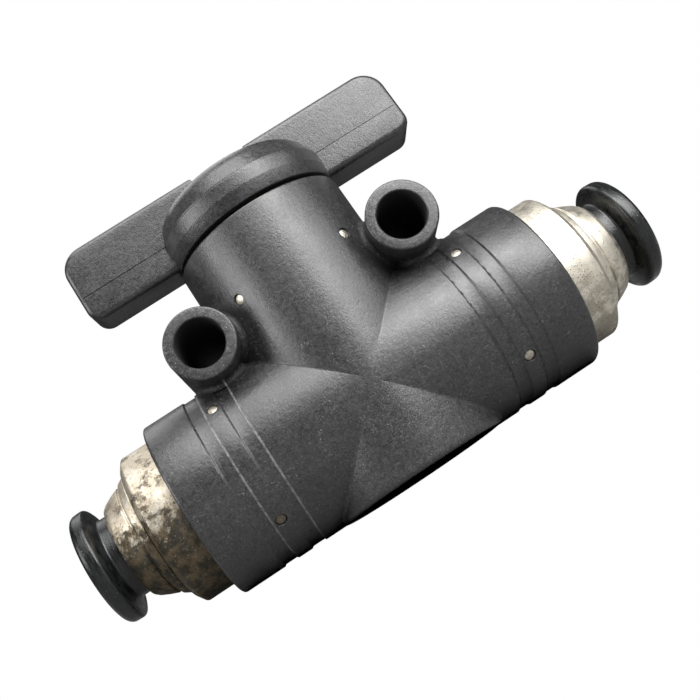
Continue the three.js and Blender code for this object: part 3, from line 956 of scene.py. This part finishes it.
def build_sleeve(name, side):
    """The cartridge sleeve: its part inside the core, then two visible rings and a lip."""
    in_core, o_ring_groove = 5.65, 4.9
    first_ring, ring_groove, second_ring = 5.85, 5.02, 5.15
    mouth, claw_room, tube, flow = 3.85, 4.45, 3.15, 2.1
    inner_end, tube_stop, seal_stop = 7.65, 11.4, 14.0
    core_end, claw_stop, lip = 21.45, 22.65, 24.35
    corners = [
        (inner_end, flow, 0),
        (inner_end, in_core, 0.15),
        (10.1, in_core, 0),
        (10.1, o_ring_groove, 0),
        (11.3, o_ring_groove, 0),
        (11.3, in_core, 0),
        (core_end, in_core, 0),
        (core_end, first_ring, 0.1),
        (22.2, 5.42, 0.12),
        (22.35, ring_groove, 0.06),
        (22.45, ring_groove, 0.06),
        (22.58, second_ring, 0.1),
        (23.3, 4.85, 0.4),
        (24.0, 4.5, 0.2),
        (lip, 4.2, 0.12),
        (lip, mouth, 0.08),
        (claw_stop, mouth, 0.0),
        (claw_stop, claw_room, 0.1),
        (seal_stop, claw_room, 0.1),
        (seal_stop, tube, 0.1),
        (tube_stop, tube, 0.1),
        (tube_stop, flow, 0.1),
    ]
    return revolve(name, [(x * side, r) for x, r in rounded(corners)], "X")


def build_collar(name, side):
    """The release collar: a skirt with a barb inside the sleeve, and a round flange outside."""
    tube, barb, neck, flange = 3.1, 4.15, 3.7, 5.2
    inner_end, barb_end, face = 21.7, 22.5, 27.35
    corners = [
        (inner_end, tube, 0.1),
        (inner_end, 3.5, 0.1),
        (22.2, barb, 0.1),
        (barb_end, barb, 0.1),
        (barb_end, neck, 0.1),
        (25.4, neck, 0.25),
        (25.78, 4.75, 0.15),
        (26.0, flange, 0.35),
        (face, flange - 0.05, 0.6),
        (face, 3.75, 0.2),
        (26.7, tube, 0.2),
    ]
    return revolve(name, [(x * side, r) for x, r in rounded(corners, 6)], "X")


def build_ball():
    """Ball with a rounded edge at its flow bore and a slot for the stem's tang."""
    bore, radius = 2.0, 4.8
    slot_half, slot_floor = 0.95, 3.2
    edge = math.degrees(math.asin(bore / radius)) + 2
    reach = radius * math.cos(math.radians(edge)) - 0.08
    outline = arc(0, 0, radius, 180 - edge, edge, 48)
    outline += [Vector((reach, bore)), Vector((-reach, bore))]
    ball = revolve("ball_polished", outline, "X", MEDIUM)
    slot = box("slot", (-slot_half, -6, BARREL_Z + slot_floor), (slot_half, 6, BARREL_Z + 6))
    combine(ball, slot, "DIFFERENCE")
    return ball


# ---------- assembly ----------

stands_for(build_shell(), "valve_body", "black_polymer", "body_shell")
stands_for(build_core(), "valve_body", "nickel_plate", "body_core")
stands_for(build_handle(), "handle_and_ball", "black_polymer", "handle")
stands_for(build_screw(), "handle_and_ball", "stainless", "handle_screw")
stands_for(build_washer(), "handle_and_ball", "stainless", "screw_washer")
stands_for(build_ball(), "handle_and_ball", "chrome_plate", "ball")
for side_name, side_sign in SIDES.items():
    sleeve = build_sleeve(side_name + "_cartridge_turned", side_sign)
    stands_for(sleeve, "valve_body", "nickel_plate", side_name + "_cartridge_sleeve")
    collar = build_collar(side_name + "_collar_moulding", side_sign)
    stands_for(collar, side_name + "_collar", "collar_polymer", side_name + "_release_collar")

for part in frame["record"]["subparts"]:
    node = frame["nodes"][part["node"]]
    node.data.materials.clear()
    node.data.materials.append(LOOKS[part["material_slot"]])


# ---------- floor, light and camera ----------


def background(tree, color, strength):
    """A background of one colour and strength, for the world's nodes."""
    node = tree.nodes.new("ShaderNodeBackground")
    node.inputs["Color"].default_value = (*color, 1)
    node.inputs["Strength"].default_value = strength
    return node


def build_world():
    """A white backdrop for the camera and a dim grey room for the light."""
    world = bpy.data.worlds.new("room")
    bpy.context.scene.world = world
    world.use_nodes = True
    tree = world.node_tree
    tree.nodes.clear()
    room = background(tree, (0.97, 0.98, 1.0), 0.06)
    backdrop = background(tree, (1.0, 1.0, 1.0), 1.0)
    path = tree.nodes.new("ShaderNodeLightPath")
    mix = tree.nodes.new("ShaderNodeMixShader")
    output = tree.nodes.new("ShaderNodeOutputWorld")
    tree.links.new(path.outputs["Is Camera Ray"], mix.inputs[0])
    tree.links.new(room.outputs[0], mix.inputs[1])
    tree.links.new(backdrop.outputs[0], mix.inputs[2])
    tree.links.new(mix.outputs[0], output.inputs["Surface"])


def build_floor():
    """A pale floor that fades into the backdrop further out.

    It is one-sided, because the camera stands a little below it.
    """
    bm = bmesh.new()
    bmesh.ops.create_circle(bm, segments=MEDIUM, radius=FLOOR_RADIUS * MM, cap_ends=True)
    mesh = bpy.data.meshes.new("floor")
    bm.to_mesh(mesh)
    bm.free()
    floor = bpy.data.objects.new("floor", mesh)
    floor.location.z = -0.02 * MM  # just under the valve, so that the two faces don't coincide
    bpy.context.scene.collection.objects.link(floor)
    n = Nodes("floor")
    n.set(Roughness=0.9, Base_Color=(0.26, 0.26, 0.257, 1))
    facing = n.tree.nodes.new("ShaderNodeNewGeometry")
    clear = n.tree.nodes.new("ShaderNodeBsdfTransparent")
    mix = n.tree.nodes.new("ShaderNodeMixShader")
    far = n.ramp(n.distance(n.along, n.across), *FLOOR_FADE)
    n.link(n.most(far, facing.outputs["Backfacing"]), mix.inputs[0])
    n.link(n.shader.outputs[0], mix.inputs[1])
    n.link(clear.outputs[0], mix.inputs[2])
    n.link(mix.outputs[0], n.tree.nodes["Material Output"].inputs["Surface"])
    mesh.materials.append(n.material)


def softbox(name, direction, distance, width, height, watts):
    """A rectangular white lamp that looks at the middle of the valve from a direction."""
    data = bpy.data.lights.new(name, "AREA")
    data.shape = "RECTANGLE"
    data.size, data.size_y = width, height
    data.energy = watts
    lamp = bpy.data.objects.new(name, data)
    bpy.context.scene.collection.objects.link(lamp)
    away = Vector(direction).normalized()
    middle = Vector((0, 0, 0.015))
    lamp.location = middle + away * distance
    lamp.rotation_euler = (-away).to_track_quat("-Z", "Y").to_euler()


def build_lights():
    """Four lamps on the side the camera looks at, and one behind for the edges."""
    softbox("key", (0.46, -0.74, 0.49), 0.30, 0.14, 0.24, 1.40)
    softbox("overhead", (0.05, -0.56, 0.83), 0.30, 0.20, 0.26, 1.20)
    softbox("left", (-0.84, -0.40, 0.38), 0.30, 0.18, 0.14, 0.60)
    softbox("right", (0.83, -0.47, 0.32), 0.30, 0.14, 0.14, 0.34)
    softbox("back", (-0.10, 0.45, 0.90), 0.45, 0.30, 0.30, 0.6)


def build_camera():
    """Camera at the photograph's viewing angle, looking up a little at the valve's front."""
    data = bpy.data.cameras.new("camera")
    data.sensor_width = 36.0
    data.lens = 49.34
    data.shift_x, data.shift_y = 0.06, -0.02
    data.clip_start, data.clip_end = 0.005, 20.0
    camera = bpy.data.objects.new("camera", data)
    bpy.context.scene.collection.objects.link(camera)
    place = Vector((-8.6246, -82.6365, -3.1236)) * MM
    forward = Vector((0.08255, 0.97178, 0.22097)).normalized()
    upwards = Vector((0.53862, -0.23006, 0.81053))
    right = forward.cross(upwards).normalized()
    up = right.cross(forward)
    turn = Matrix((right, up, -forward)).transposed()
    camera.matrix_world = Matrix.Translation(place) @ turn.to_4x4()
    bpy.context.scene.camera = camera


bpy.context.scene.view_settings.view_transform = "Standard"
build_world()
build_floor()
build_lights()
build_camera()
